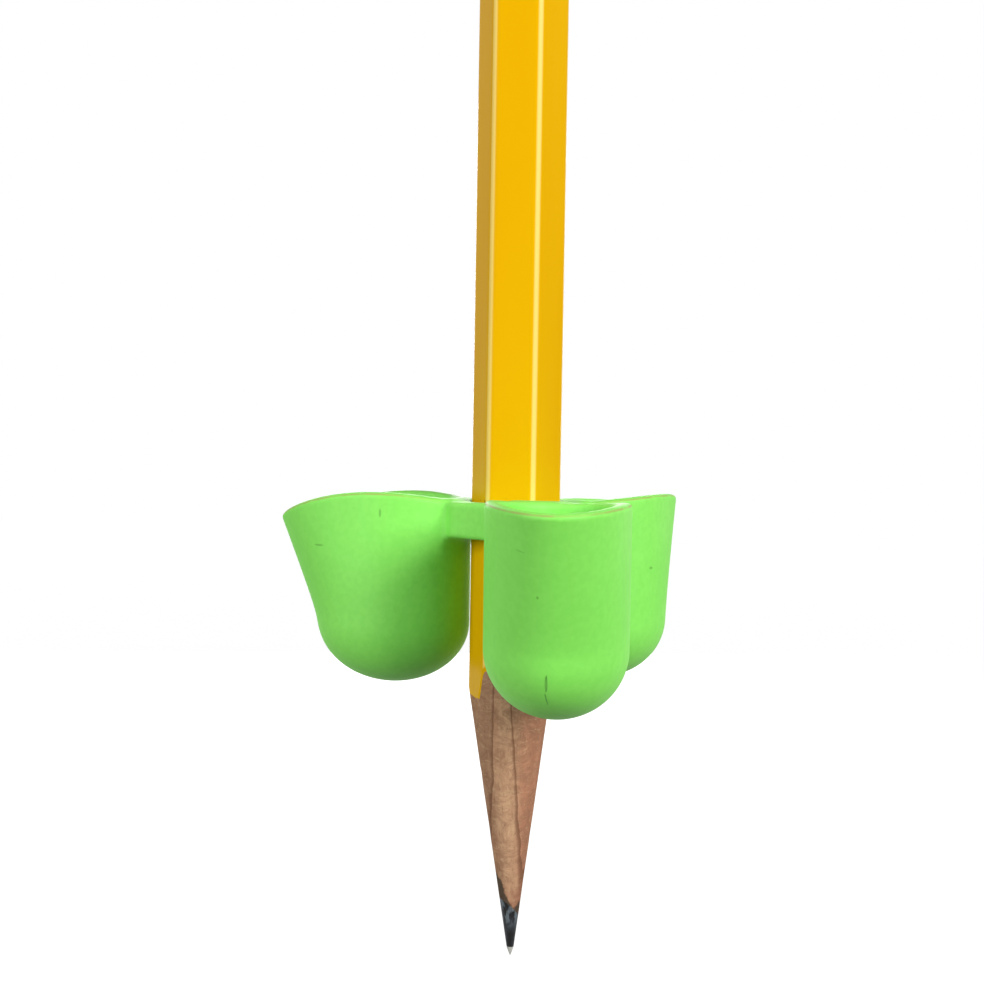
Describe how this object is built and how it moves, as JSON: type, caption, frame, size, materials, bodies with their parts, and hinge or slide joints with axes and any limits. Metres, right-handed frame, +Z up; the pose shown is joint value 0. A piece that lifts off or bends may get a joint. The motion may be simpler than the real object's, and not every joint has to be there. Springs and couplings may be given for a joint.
{
  "type": "pencil grip",
  "caption": "Soft rubber pencil grip with finger cups hung round a collar, fitted on a sharpened hexagonal pencil that slides through it.",
  "frame": {"origin": "on the pencil's axis, at the middle of the grip collar's height", "axes": "+Z up the pencil, from its point to its eraser; -X towards the middle finger's cup; the XZ plane is the grip's mirror plane, with the thumb's cup on its -Y side and the index finger's on its +Y side"},
  "size_m": [0.0344, 0.0418, 0.12],
  "materials": {
    "grip_rubber": "soft satin moulded rubber, lime green",
    "lacquer": "glossy yellow lacquer",
    "cedar": "bare sharpened cedar",
    "graphite": "dark grey graphite with a dull sheen",
    "ferrule": "bright rolled aluminium",
    "eraser": "matt pink rubber"
  },
  "bodies": {
    "collar": {"grip_collar": "grip_rubber"},
    "middle_finger_cup": {"middle_finger_cup": "grip_rubber"},
    "thumb_cup": {"thumb_cup": "grip_rubber"},
    "index_finger_cup": {"index_finger_cup": "grip_rubber"},
    "pencil": {"lacquer_coat": "lacquer", "cedar_slat_left": "cedar", "cedar_slat_right": "cedar", "graphite_core": "graphite", "ferrule": "ferrule", "eraser": "eraser"}
  },
  "joints": [
    {"name": "middle_finger_cup_flex", "type": "hinge", "parent": "collar", "child": "middle_finger_cup", "pos_m": [-0.00524, 0, 0.00155], "axis": [0, 1, 0], "range_deg": [0, 20], "stiffness_Nm_per_rad": 0.01},
    {"name": "thumb_cup_flex", "type": "hinge", "parent": "collar", "child": "thumb_cup", "pos_m": [0.00283, -0.00441, 0.00155], "axis": [-0.8415, -0.5402, 0], "range_deg": [0, 20], "stiffness_Nm_per_rad": 0.01},
    {"name": "index_finger_cup_flex", "type": "hinge", "parent": "collar", "child": "index_finger_cup", "pos_m": [0.00283, 0.00441, 0.00155], "axis": [0.8415, -0.5402, 0], "range_deg": [0, 20], "stiffness_Nm_per_rad": 0.01},
    {"name": "pencil_slide", "type": "slide", "parent": "collar", "child": "pencil", "axis": [0, 0, 1], "range_m": [-0.06, 0.042]}
  ]
}
